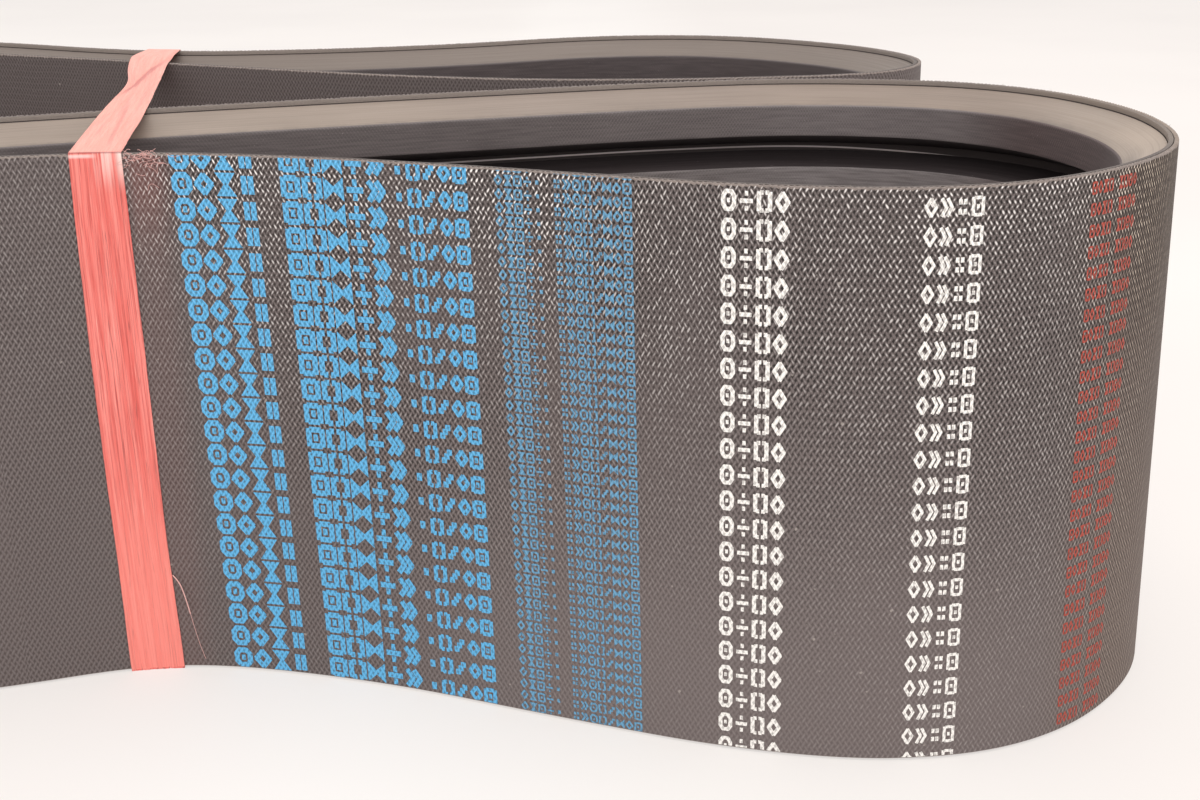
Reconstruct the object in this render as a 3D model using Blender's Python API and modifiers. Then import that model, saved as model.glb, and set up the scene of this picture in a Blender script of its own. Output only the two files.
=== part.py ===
"""Joined multi-rib V belt, standing on its edge, folded into two lobes and tied with a ribbon.

Every layer of the belt is one section carried round the same closed path, so the layers stay parallel.
X runs along the folded bundle, Y across it and Z across the belt's width, up from the standing surface.
Lengths are in metres, and the constants below are all the driving dimensions.
"""

import math

import bmesh
import bpy
from mathutils import Vector

MM = 0.001

# B profile section with a 40 degree rib
RIBS = 7
PITCH = 19.05 * MM
FACE_WIDTH = 9.0 * MM
RIB_HEIGHT = 11.0 * MM
FLANK = math.radians(20.0)
END_FLANK = 5.5 * MM
EDGE_OVERHANG = 1.5 * MM
END_MARGIN = END_FLANK + EDGE_OVERHANG
BELT_WIDTH = (RIBS - 1) * PITCH + FACE_WIDTH + 2 * END_MARGIN

# Layers, counted inwards from the outer surface
GAP = 0.3 * MM
OUTER_PLY = 1.0 * MM
INNER_PLY = 1.2 * MM
CORD_LAYER = 1.2 * MM
FACING = 0.5 * MM
BAND = OUTER_PLY + GAP + INNER_PLY
THICKNESS = BAND + RIB_HEIGHT

# Split-film ribbon
RIBBON_WIDTH = 13.0 * MM
RIBBON_THICK = 0.3 * MM
RIBBON_GAP = 0.4 * MM
STAND_OFF = RIBBON_THICK + GAP
TOP_EDGE = STAND_OFF + BELT_WIDTH
KNOT_HEIGHT = 92.0 * MM
KNOT_HALF = Vector((8.5, 5.5, 7.0)) * MM
TAIL_WIDTH = 7.0 * MM
TAIL_THICK = 0.5 * MM
TAIL_LENGTHS = (58.0 * MM, 44.0 * MM)
TAIL_STEPS = 8

# Places along the outer surface, in millimetres, anticlockwise from above
TIE_FRONT = (11, -121)
TIE_BACK = (-28, 110)
NEAR_LOBE = (
    (64, -131), (119, -153), (170, -173), (215, -175), (252, -151), (274, -115),
    (273, -70), (246, -21), (201, 7), (158, 4), (107, -9), (43, -28), (-25, -51),
)
INNER_BEND = (
    (-88, -75), (-132, -81), (-172, -62), (-198, -22), (-202, 28), (-183, 75), (-150, 103), (-110, 110),
    (-69, 94),
)
FAR_LOBE = (
    (5, 56), (86, 19), (132, 10), (188, 12), (224, 21), (241, 46), (237, 80), (210, 120), (172, 145),
    (130, 146), (74, 123), (23, 111),
)
OUTER_BEND = (
    (-66, 126), (-104, 148), (-146, 161), (-189, 150), (-221, 118), (-239, 70), (-243, 10), (-234, -50),
    (-208, -100), (-167, -133), (-118, -146), (-66, -139), (-22, -126),
)
PATH = (TIE_FRONT, *NEAR_LOBE, *INNER_BEND, *FAR_LOBE, TIE_BACK, *OUTER_BEND)
STEPS_A_POINT = 2


def clear_scene():
    for obj in list(bpy.data.objects):
        bpy.data.objects.remove(obj, do_unlink=True)


def new_collection(name):
    collection = bpy.data.collections.new(name)
    bpy.context.scene.collection.children.link(collection)
    return collection


def new_object(name, data, collection, parent=None):
    obj = bpy.data.objects.new(name, data)
    obj.parent = parent
    collection.objects.link(obj)
    return obj


def material(name, color, roughness, sheen=0.0):
    made = bpy.data.materials.new(name)
    made.use_nodes = True
    shader = made.node_tree.nodes["Principled BSDF"]
    shader.inputs["Base Color"].default_value = (*color, 1.0)
    shader.inputs["Roughness"].default_value = roughness
    shader.inputs["Sheen Weight"].default_value = sheen
    made.diffuse_color = (*color, 1.0)
    return made


def section(name, corners, guides):
    """A closed outline of (depth from the outer surface, height) for a path to carry."""
    curve = bpy.data.curves.new(name, "CURVE")
    curve.dimensions = "2D"
    spline = curve.splines.new("POLY")
    spline.points.add(len(corners) - 1)
    for point, (depth, height) in zip(spline.points, corners):
        point.co = (-depth, height, 0.0, 1.0)
    spline.use_cyclic_u = True
    obj = new_object(name, curve, guides)
    obj.display_type = "WIRE"
    return obj


def carried(name, corners, look, collection, guides, parent):
    """One layer of the belt: the outline carried once round the closed path."""
    curve = bpy.data.curves.new(name, "CURVE")
    curve.dimensions = "3D"
    curve.twist_mode = "Z_UP"
    curve.resolution_u = STEPS_A_POINT
    spline = curve.splines.new("BEZIER")
    spline.bezier_points.add(len(PATH) - 1)
    for point, (x, y) in zip(spline.bezier_points, PATH):
        point.co = (x * MM, y * MM, 0.0)
        point.handle_left_type = "AUTO"
        point.handle_right_type = "AUTO"
    spline.use_cyclic_u = True
    curve.bevel_mode = "OBJECT"
    curve.bevel_object = section(name + "_section", corners, guides)
    curve.materials.append(look)
    return new_object(name, curve, collection, parent)


def strip(near, far):
    """The outline of a ply, over the belt's whole width."""
    return ((near, STAND_OFF), (far, STAND_OFF), (far, TOP_EDGE), (near, TOP_EDGE))


def half_width(depth, at_edge):
    rise = THICKNESS - depth
    slope = END_FLANK / RIB_HEIGHT if at_edge else math.tan(FLANK)
    return FACE_WIDTH / 2 + slope * rise


def rib_slice(index, near, far):
    """The outline of one rib between two depths. The first and last rib have a wider outer flank."""
    centre = STAND_OFF + END_MARGIN + FACE_WIDTH / 2 + index * PITCH
    first = index == 0
    last = index == RIBS - 1
    return (
        (near, centre - half_width(near, first)),
        (far, centre - half_width(far, first)),
        (far, centre + half_width(far, last)),
        (near, centre + half_width(near, last)),
    )


def add_band(looks, *places):
    carried("band_outer_ply", strip(0.0, OUTER_PLY), looks["fabric"], *places)
    carried("band_inner_ply", strip(OUTER_PLY + GAP, BAND), looks["ply"], *places)


def add_rib(index, looks, *places):
    number = index + 1
    cord = BAND + GAP
    rubber = cord + CORD_LAYER + GAP
    facing = THICKNESS - FACING
    carried(f"cord_layer_{number}", rib_slice(index, cord, cord + CORD_LAYER), looks["cord"], *places)
    carried(f"rib_{number}", rib_slice(index, rubber, facing - GAP), looks["rubber"], *places)
    carried(f"rib_facing_{number}", rib_slice(index, facing, THICKNESS), looks["facing"], *places)


def walk(outline, start, distance):
    """The spot this far along the closed outline from one of its corners."""
    step = 1 if distance > 0 else -1
    left = abs(distance)
    at = start
    while True:
        here = outline[at]
        ahead = outline[(at + step) % len(outline)]
        length = (ahead - here).length
        if left <= length:
            return here.lerp(ahead, left / length)
        left -= length
        at = (at + step) % len(outline)


def ribbon_seat(outline, place):
    """The ribbon's two edges on the outer surface at this place, and the direction away from the belt."""
    target = Vector(place) * MM
    nearest = min(range(len(outline)), key=lambda i: (outline[i] - target).length)
    before = walk(outline, nearest, -RIBBON_WIDTH / 2)
    after = walk(outline, nearest, RIBBON_WIDTH / 2)
    along = (after - before).normalized()
    return before, after, Vector((along.y, -along.x))


def strip_mesh(name, rows, closed, thickness, look, collection, parent):
    """A strip of quads between rows of two points, thickened outwards."""
    made = bmesh.new()
    verts = [[made.verts.new(point) for point in row] for row in rows]
    pairs = zip(verts, verts[1:] + verts[:1] if closed else verts[1:])
    for (a, b), (c, d) in pairs:
        made.faces.new((a, b, d, c))
    mesh = bpy.data.meshes.new(name)
    made.to_mesh(mesh)
    made.free()
    mesh.materials.append(look)
    obj = new_object(name, mesh, collection, parent)
    solid = obj.modifiers.new("thickness", "SOLIDIFY")
    solid.thickness = thickness
    solid.offset = 1.0
    solid.solidify_mode = "NON_MANIFOLD"
    solid.nonmanifold_thickness_mode = "CONSTRAINTS"
    return obj


def add_ribbon(front, back, look, collection, parent):
    lowest = RIBBON_THICK
    highest = TOP_EDGE + RIBBON_GAP
    rows = []
    for seat, heights in ((front, (lowest, highest)), (back, (highest, lowest))):
        before, after, away = seat
        edges = (before, after) if seat is front else (after, before)
        for height in heights:
            rows.append([(edge + away * RIBBON_GAP).to_3d() + Vector((0, 0, height)) for edge in edges])
    strip_mesh("tie_ribbon", rows, True, RIBBON_THICK, look, collection, parent)


def add_knot_frame(back, parent, collection):
    """An empty on the back of the ribbon: X along the belt, Y away from it, Z up."""
    before, after, away = back
    empty = new_object("knot_place", None, collection, parent)
    clear = RIBBON_GAP + RIBBON_THICK + GAP + KNOT_HALF.y
    middle = (before + after) / 2 + away * clear
    empty.location = (middle.x, middle.y, KNOT_HEIGHT)
    empty.rotation_euler.z = math.atan2(-away.x, away.y)
    return empty


def add_knot(look, collection, parent):
    made = bmesh.new()
    bmesh.ops.create_uvsphere(made, u_segments=18, v_segments=10, radius=1.0)
    for vert in made.verts:
        turn = math.atan2(vert.co.z, vert.co.x)
        swell = 1 + 0.1 * math.cos(3 * turn) * (1 - vert.co.y**2)
        vert.co = Vector((vert.co.x * swell, vert.co.y, vert.co.z * swell)) * KNOT_HALF
    mesh = bpy.data.meshes.new("tie_knot")
    made.to_mesh(mesh)
    made.free()
    mesh.materials.append(look)
    new_object("tie_knot", mesh, collection, parent)


def add_tail(number, side, length, look, collection, parent):
    """A flat end of the ribbon that leaves the knot sideways and hangs down."""
    rows = []
    for i in range(TAIL_STEPS + 1):
        share = i / TAIL_STEPS
        reach = KNOT_HALF.x * 1.1 + GAP + 12 * MM * math.sin(share * math.pi / 2)
        drop = -length * share**1.6
        lean = math.pi / 2 * (1 - share) ** 2
        across = Vector((-math.cos(lean) * side, 0, math.sin(lean))) * TAIL_WIDTH / 2
        middle = Vector((reach * side, 1.5 * MM * math.sin(share * math.pi), drop))
        rows.append([middle + across * side, middle - across * side])
    strip_mesh(f"tie_tail_{number}", rows, False, TAIL_THICK, look, collection, parent)


def evaluated_outline(obj):
    """The outer corners of a carried layer at one height, in order round the path."""
    graph = bpy.context.evaluated_depsgraph_get()
    mesh = obj.evaluated_get(graph).to_mesh()
    per_station = len(obj.data.bevel_object.data.splines[0].points)
    return [vert.co.to_2d() for vert in list(mesh.vertices)[::per_station]]


def main():
    clear_scene()
    belt = new_collection("joined_v_belt")
    guides = new_collection("guides")
    guides.hide_render = True
    looks = {
        "fabric": material("woven_cover", (0.035, 0.036, 0.042), 0.6, 0.2),
        "ply": material("inner_ply", (0.10, 0.085, 0.08), 0.8),
        "cord": material("cord_gum", (0.16, 0.14, 0.12), 0.7),
        "rubber": material("rib_rubber", (0.05, 0.05, 0.055), 0.75),
        "facing": material("rib_fabric", (0.07, 0.08, 0.095), 0.8, 0.1),
        "film": material("split_film", (0.80, 0.22, 0.20), 0.45, 0.1),
    }
    origin = new_object("belt_origin", None, belt)
    add_band(looks, belt, guides, origin)
    for index in range(RIBS):
        add_rib(index, looks, belt, guides, origin)
    bpy.context.view_layer.update()
    outline = evaluated_outline(bpy.data.objects["band_outer_ply"])
    front = ribbon_seat(outline, TIE_FRONT)
    back = ribbon_seat(outline, TIE_BACK)
    add_ribbon(front, back, looks["film"], belt, origin)
    knot_place = add_knot_frame(back, origin, belt)
    add_knot(looks["film"], belt, knot_place)
    for number, side, length in ((1, 1, TAIL_LENGTHS[0]), (2, -1, TAIL_LENGTHS[1])):
        add_tail(number, side, length, looks["film"], belt, knot_place)
    xs = [point.x for point in outline]
    ys = [point.y for point in outline]
    origin.location = (-(min(xs) + max(xs)) / 2, -(min(ys) + max(ys)) / 2, 0)


main()
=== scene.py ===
import collections
import math

import bmesh
import bpy
import numpy as np
from mathutils import Matrix, Vector


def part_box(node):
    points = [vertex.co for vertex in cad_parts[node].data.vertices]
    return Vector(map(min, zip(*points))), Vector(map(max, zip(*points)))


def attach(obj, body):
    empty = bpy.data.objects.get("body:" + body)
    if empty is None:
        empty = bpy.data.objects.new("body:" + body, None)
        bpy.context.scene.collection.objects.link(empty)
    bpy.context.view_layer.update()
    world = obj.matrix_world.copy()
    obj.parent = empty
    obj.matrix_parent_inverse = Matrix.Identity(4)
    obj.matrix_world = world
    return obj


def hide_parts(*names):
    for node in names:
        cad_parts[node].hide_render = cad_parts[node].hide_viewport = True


# A joined seven-rib V belt, stood on edge, folded into two lobes and tied with a split-film ribbon.
# Every layer is swept along one closed path. "Along" is the distance round the outer surface,
# anticlockwise from above, "depth" is the distance in from that surface, and "height" is up.

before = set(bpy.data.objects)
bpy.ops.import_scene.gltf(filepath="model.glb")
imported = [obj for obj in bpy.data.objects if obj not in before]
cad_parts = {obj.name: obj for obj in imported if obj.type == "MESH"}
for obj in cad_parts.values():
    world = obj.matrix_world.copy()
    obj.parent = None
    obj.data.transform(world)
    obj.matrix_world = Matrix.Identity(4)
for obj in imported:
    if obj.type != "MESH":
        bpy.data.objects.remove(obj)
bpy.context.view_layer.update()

MM = 0.001
BODY = "root"
RIBS = 7
RNG = np.random.default_rng(95)

# The path's places on the outer surface, in millimetres, before it is centred on the frame's box
TIE_FRONT = (11, -121)
TIE_BACK = (-28, 110)
NEAR_LOBE = (
    (64, -131), (119, -153), (170, -173), (215, -175), (252, -151), (274, -115),
    (273, -70), (246, -21), (201, 7), (158, 4), (107, -9), (43, -28), (-25, -51),
)
INNER_BEND = (
    (-88, -75), (-132, -81), (-172, -62), (-198, -22), (-202, 28), (-183, 75), (-150, 103), (-110, 110),
    (-69, 94),
)
FAR_LOBE = (
    (5, 56), (86, 19), (132, 10), (188, 12), (224, 21), (241, 46), (237, 80), (210, 120), (172, 145),
    (130, 146), (74, 123), (23, 111),
)
OUTER_BEND = (
    (-66, 126), (-104, 148), (-146, 161), (-189, 150), (-221, 118), (-239, 70), (-243, 10), (-234, -50),
    (-208, -100), (-167, -133), (-118, -146), (-66, -139), (-22, -126),
)
PATH = (*OUTER_BEND[-1:], TIE_FRONT, *NEAR_LOBE, *INNER_BEND, *FAR_LOBE, TIE_BACK, *OUTER_BEND[:-1])
CAD_STEPS = 2
FINE_STEPS = 24
EASE = 17.7 * MM  # the CAD model's straight chords cut inside its bends by about this much smoothing
AHEAD = 9  # stations to either side that give the direction at one
EASE_TABLE = 12  # stations to either side that smooth the two tables below

# Heights come from the frame; depths repeat the section of the CAD model
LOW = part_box("band_outer_ply")[0].z
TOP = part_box("band_outer_ply")[1].z
PITCH = (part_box("rib_facing_5")[0].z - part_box("rib_facing_3")[0].z) / 2
MIDDLE_RIB = (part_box("rib_facing_4")[0].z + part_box("rib_facing_4")[1].z) / 2
FACE_WIDTH = 9.0 * MM
THICKNESS = 13.5 * MM
FLANK = math.tan(math.radians(20.0))
END_FLANK = 0.5
PLY_SPLIT = 1.1 * MM
PLY_SEAM = 0.18 * MM
BAND = 2.45 * MM
CORD_IN = 2.75 * MM
CORD_OUT = 4.0 * MM
CORDS = 9
JACKET = 0.7 * MM
FACING = 0.55 * MM
CORNER = 0.8 * MM

# How far the near strand's lower edge stands out from its upper edge, by the distance along, in millimetres
LEAN = (
    (-190, 0), (-90, 5.0), (0, 6.3), (15, 4.3), (31, 1.6), (47, 0.3), (150, 0), (190, -1.5), (239, -1.6),
    (262, 0.3), (284, 2.0), (330, 1.2), (420, 0),
)

# How far the belt stands clear of the floor behind the near lobe's bend, in the same way
CLEAR = (
    (330, 0), (350, 0.5), (370, 1.4), (400, 1.8), (425, 1.7), (445, 1.3), (470, 0.4), (495, 0),
)

# The cover's two sets of threads, in threads per metre along the belt and up it, and how far they wander
THREADS_ALONG = 735.0
THREADS_UP = 455.0
THREAD_DRIFT = 0.9 * MM
FINE_STEP = 0.5 / THREADS_ALONG  # the distance between two stations
# The cover has a row of points at every station; the ribs and the cords have one in this many
COARSE_SHARE = 6
CORD_SHARE = 15


# ---- the path

def link(obj):
    bpy.context.scene.collection.objects.link(obj)
    return obj


def closest(points, place):
    return np.argmin(np.linalg.norm(points - place, axis=1))


def unit(vectors):
    return vectors / np.linalg.norm(vectors, axis=-1, keepdims=True)


def outline(steps):
    """The path as points, this many for each place, from a closed curve with automatic handles."""
    curve = bpy.data.curves.new("path", "CURVE")
    curve.dimensions = "3D"
    curve.resolution_u = steps
    spline = curve.splines.new("BEZIER")
    spline.bezier_points.add(len(PATH) - 1)
    for point, (x, y) in zip(spline.bezier_points, PATH):
        point.co = (x * MM, y * MM, 0.0)
        point.handle_left_type = point.handle_right_type = "AUTO"
    spline.use_cyclic_u = True
    obj = link(bpy.data.objects.new("path", curve))
    bpy.context.view_layer.update()
    mesh = obj.evaluated_get(bpy.context.evaluated_depsgraph_get()).to_mesh()
    points = np.array([vert.co[:2] for vert in mesh.vertices])
    bpy.data.objects.remove(obj)
    return np.roll(points, -closest(points, np.array(PATH[0]) * MM), axis=0)


def walked(points):
    """The distance along a line at each of its points."""
    return np.r_[0, np.cumsum(np.linalg.norm(np.diff(points, axis=0), axis=1))]


def even(points, count):
    """The closed line through these points as this many even steps, and the length of it."""
    closed = np.vstack([points, points[:1]])
    along = walked(closed)
    places = np.arange(count) * along[-1] / count
    return np.stack([np.interp(places, along, closed[:, i]) for i in (0, 1)], axis=1), along[-1]


def relaxed(points, reach):
    """Each point moved to the middle of its neighbours, this many to either side."""
    return sum(np.roll(points, shift, 0) for shift in range(-reach, reach + 1)) / (2 * reach + 1)


class Belt:
    """Stations at even steps along the path: place, direction away from the belt, lean and clear height."""

    def __init__(self):
        low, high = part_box("band_outer_ply")
        rough = outline(CAD_STEPS)
        self.shift = np.array((low + high)[:2]) / 2 - (rough.min(0) + rough.max(0)) / 2
        points = outline(FINE_STEPS) + self.shift
        length = even(points, 2)[1]
        every = CORD_SHARE * COARSE_SHARE
        self.count = every * round(length / FINE_STEP / every)
        eased = relaxed(even(points, self.count)[0], round(EASE * self.count / length))
        start = closest(eased, np.array(PATH[0]) * MM + self.shift)
        self.at, self.length = even(np.roll(eased, -start, axis=0), self.count)
        self.along = np.arange(self.count) * self.length / self.count
        ahead = unit(np.roll(self.at, -AHEAD, 0) - np.roll(self.at, AHEAD, 0))
        places = np.where(self.along > self.length / 2, self.along - self.length, self.along)
        lean, clear = (np.interp(places, *np.array(values).T * MM) for values in (LEAN, CLEAR))
        lean, clear = (relaxed(relaxed(values, EASE_TABLE), EASE_TABLE) for values in (lean, clear))
        self.stations = np.column_stack([self.at, ahead[:, 1], -ahead[:, 0], lean, clear])

    def surface(self, along, height, depth=0.0):
        """Points at these distances along, heights, and depths inside the outer surface."""
        along, height, depth = np.broadcast_arrays(along, height, depth)
        place = (along / self.length * self.count) % self.count
        before = np.floor(place).astype(int)
        share = (place - before)[..., None]
        after = self.stations[(before + 1) % self.count]
        here = self.stations[before % self.count] * (1 - share) + after * share
        out = here[..., 4] * (1 - height / TOP) - depth
        up = height + here[..., 5]
        return np.concatenate([here[..., :2] + here[..., 2:4] * out[..., None], up[..., None]], axis=-1)

    def nearest(self, place):
        """The distance along of the station nearest to one of the path's own places."""
        return self.along[closest(self.at, np.array(place) * MM + self.shift)]


# ---- meshes

def piece(obj, slot, *nodes):
    """Parents a finished piece to the body's empty and hides the CAD parts that it replaces."""
    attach(obj, BODY)
    if nodes:
        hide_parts(*nodes)


def cells(grid, axis=-1):
    """The four corners of each cell of a grid, stacked along one axis."""
    return np.stack([grid[:-1, :-1], grid[1:, :-1], grid[1:, 1:], grid[:-1, 1:]], axis=axis)


def quad_object(name, points, quads, flat, looks):
    mesh = bpy.data.meshes.new(name)
    mesh.from_pydata(points.reshape(-1, 3).tolist(), [], quads.reshape(-1, 4).tolist())
    mesh.uv_layers.new(name="flat").data.foreach_set("uv", flat.reshape(-1).astype(np.float32))
    for look in looks:
        mesh.materials.append(look)
    mesh.shade_smooth()
    mesh.update()
    return link(bpy.data.objects.new(name, mesh))


def grid_object(name, points, flat, looks, wrap_rows=False, wrap_columns=False, look_of=None, angle=35):
    """A mesh from a grid of points, with flat = (u, v) of each grid line for its texture coordinates."""
    index = np.arange(points[..., 0].size).reshape(points.shape[:2])
    index = np.pad(index, ((0, wrap_rows), (0, wrap_columns)), mode="wrap")
    quads = cells(index)
    corners = np.stack(np.broadcast_arrays(flat[0][:, None], flat[1][None, :]), axis=-1)
    made = quad_object(name, points, quads, cells(corners, 2), looks)
    if look_of is not None:
        made.data.polygons.foreach_set("material_index", np.tile(np.array(look_of, np.int32), len(quads)))
    made.data.set_sharp_from_angle(angle=math.radians(angle))
    made.data.update()
    return made


def swept(name, belt, section, looks, share, look_of=None, wobble=None):
    """One layer: a closed section of (depth, height) corners, moved by wobble and carried round the path."""
    along = belt.along[::share]
    corners = np.array(section)
    depth, height = (np.tile(values, (len(along), 1)) for values in corners.T)
    if wobble is not None:
        wobble(depth, height)
    points = belt.surface(along[:, None], height, depth)
    flat = (np.r_[along, belt.length], corners[0, 1] + walked(np.vstack([corners, corners[:1]])))
    return grid_object(name, points, flat, looks, True, True, look_of)


def rounded(corner, before, after, radius, steps):
    """Points of a quadratic arc that rounds one corner of a section."""
    corner, before, after = (np.array(p, float) for p in (corner, before, after))
    start = corner + (before - corner) * min(0.45, radius / np.linalg.norm(before - corner))
    end = corner + (after - corner) * min(0.45, radius / np.linalg.norm(after - corner))
    shares = np.linspace(0, 1, steps + 1)
    return [tuple((1 - t) ** 2 * start + 2 * t * (1 - t) * corner + t * t * end) for t in shares]


# ---- node materials

class Wire:
    """A node's output. Each method or sign adds one more node to the material and gives its output."""

    def __init__(self, tree, kind, inputs, output=0, **settings):
        self.tree = tree
        made = tree.nodes.new(kind)
        for key, value in settings.items():
            setattr(made, key, value)
        for key, value in inputs.items():
            plug(tree, made.inputs[key], value)
        self.socket = made.outputs[output]

    def math(self, operation, *others):
        return Wire(self.tree, "ShaderNodeMath", dict(enumerate((self, *others))), operation=operation)

    def __add__(self, other):
        return self.math("ADD", other)

    def __sub__(self, other):
        return self.math("SUBTRACT", other)

    def __mul__(self, other):
        return self.math("MULTIPLY", other)

    def __abs__(self):
        return self.math("ABSOLUTE")

    def larger(self, other):
        return self.math("MAXIMUM", other)

    def axis(self, number):
        return Wire(self.tree, "ShaderNodeSeparateXYZ", {0: self}, number)

    def stretched(self, across, up):
        return Wire(self.tree, "ShaderNodeVectorMath", {0: self, 1: (across, up, 1.0)}, operation="MULTIPLY")

    def noise(self, scale, detail=2.0, roughness=0.5):
        inputs = {"Vector": self, "Scale": scale, "Detail": detail, "Roughness": roughness}
        return Wire(self.tree, "ShaderNodeTexNoise", inputs, "Fac")

    def step(self, low, high, out_low=0.0, out_high=1.0):
        inputs = {"Value": self, "From Min": low, "From Max": high, "To Min": out_low, "To Max": out_high}
        return Wire(self.tree, "ShaderNodeMapRange", inputs, interpolation_type="SMOOTHSTEP")

    def between(self, start, full, fade, gone):
        """1 from full to fade, and 0 before start and after gone."""
        return self.step(start, full) * self.step(gone, fade)

    def mix(self, first, second, blend="MIX"):
        """The first colour where this is 0 and the second where it is 1."""
        inputs = {0: self, 6: first, 7: (*second, 1.0) if isinstance(second, tuple) else second}
        if isinstance(first, tuple):
            inputs[6] = (*first, 1.0)
        return Wire(self.tree, "ShaderNodeMix", inputs, 2, data_type="RGBA", blend_type=blend)

    def tint(self, color, by):
        """The colour with its channels multiplied by these, as far as this goes."""
        return self.mix(color, by, "MULTIPLY")

    def bump(self, distance, strength):
        inputs = {"Distance": distance, "Strength": strength, "Height": self}
        return Wire(self.tree, "ShaderNodeBump", inputs)


def plug(tree, socket, value):
    if isinstance(value, Wire):
        tree.links.new(value.socket, socket)
    else:
        socket.default_value = value


class Look:
    """A node material being built."""

    def __init__(self, name, roughness=0.7, specular=0.5, sheen=0.0):
        self.material = bpy.data.materials.new(name)
        self.material.use_nodes = True
        self.tree = self.material.node_tree
        self.inputs = self.tree.nodes["Principled BSDF"].inputs
        self.inputs["Roughness"].default_value = roughness
        self.inputs["Specular IOR Level"].default_value = specular
        self.inputs["Sheen Weight"].default_value = sheen

    def flat(self):
        """The place on the surface: along the belt, or the ribbon, and up or across it."""
        return Wire(self.tree, "ShaderNodeUVMap", {}, uv_map="flat")

    def solid(self):
        """The place in space."""
        return Wire(self.tree, "ShaderNodeTexCoord", {}, "Object")

    def done(self, color, normal=None, roughness=None):
        for name, value in (("Base Color", color), ("Normal", normal), ("Roughness", roughness)):
            if value is not None:
                plug(self.tree, self.inputs[name], value)
        return self.material


def scaled(color, by):
    return tuple(channel * by for channel in color)


# Stretches of the belt that look different: where each starts, is full, starts to fade and is gone, in metres
PRINTED_RUN = (0.020, 0.062, 0.285, 0.335)
PRINTED_END = (0.20, 0.25, 0.40, 0.60)
DUSTY_FOOT = (0.06, 0.16, 0.50, 0.70)
# where the cover gets painted light and painted shade round the near lobe's bend
PAINTED_LIGHT_BEND = (0.262, 0.300, 0.38, 0.46)
DUSTY_EDGE = (0.30, 0.34, 0.39, 0.44)
CLEAN_BEND = (0.30, 0.34, 0.38, 0.50)
# the turn round the near lobe's end: painted light on the end rib's side, and a narrower dark band there
LOBE_END_TURN = (0.315, 0.345, 0.370, 0.395)
FAR_RUN = (1.36, 1.52, 2.04, 2.16)
RIBBON_RUB = (0.036, 0.040, 0.043, 0.051)
DUST, PALE_DUST = (0.237, 0.187, 0.153), (0.272, 0.216, 0.178)
# Tints of the end rib's side by stretch: the first two darken it past the near lobe's end, the last two are
# painted light that brightens it round the front of that end.
SIDE_TINTS_AND_PAINTED_LIGHT = (
    ((0.385, 0.425, 0.47, 0.56), (0.88, 0.85, 0.84)),
    ((0.49, 0.53, 0.59, 0.63), (0.90, 0.89, 0.90)),
    (LOBE_END_TURN, (1.05, 1.05, 1.04)),
    ((0.300, 0.330, 0.345, 0.375), (1.25, 1.25, 1.24)),
)
FACE_TINTS = (
    ((1.44, 1.56, 1.95, 2.10), (0.66, 0.62, 0.63)),
    ((0.29, 0.33, 0.40, 0.44), (0.71, 0.58, 0.58)),
    ((0.41, 0.44, 0.49, 0.53), (1.22, 1.24, 1.25)),
)


def weave(place):
    """The height of two crossing sets of threads, 0 to 1, and a random share for each crossing."""
    drift = place.noise(80.0) - 0.5
    drift_up = place.stretched(1.3, 0.8).noise(60.0) - 0.5
    a_part = (drift * THREAD_DRIFT + place.axis(0)) * THREADS_ALONG
    b_part = (drift_up * THREAD_DRIFT + place.axis(1)) * THREADS_UP
    threads = (b_part + a_part, b_part - a_part)
    swing = [(thread * math.pi).math("COSINE") for thread in threads]
    over = swing[0] * swing[1]
    patch = place.stretched(1.0, 0.6).noise(11.0) - 0.5
    heights = []
    for thread, sign in zip(threads, (1, -1)):
        crest = (thread * (2 * math.pi)).math("COSINE") * 0.5 + 0.5
        rise = patch * (0.7 * sign) + (over * (0.38 * sign) + 0.62)
        heights.append(crest * rise)
    crossing = {number: (thread + 0.5).math("FLOOR") for number, thread in enumerate(threads)}
    crossing = Wire(place.tree, "ShaderNodeCombineXYZ", crossing)
    chance = Wire(place.tree, "ShaderNodeTexWhiteNoise", {"Vector": crossing}, "Value", noise_dimensions="2D")
    return heights[0].larger(heights[1]), chance


def painted_crown_highlight(place):
    """How strong the painted highlights (glints) on the thread crowns are, 0 to 1: most in the printed run,
    towards its upper edge.
    """
    along, up = place.axis(0), place.axis(1)
    printed = along.between(*PRINTED_RUN) * along.step(0.13, 0.20, 1.12, 0.88)
    near = along.step(0.50, 0.42).larger(along.step(2.30, 2.36))
    printed = printed * 0.68 + (near * 0.26 + 0.06)
    high = up.larger(0.0).math("DIVIDE", TOP).math("POWER", 2.6) * 0.90 + 0.10
    high = along.between(*PRINTED_END) * up.step(TOP, 0.08) * 0.14 + high
    cloud = place.stretched(1.0, 0.7).noise(24.0, 3.0).step(0.25, 0.65, 0.45, 1.0)
    return printed * high * cloud


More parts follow.
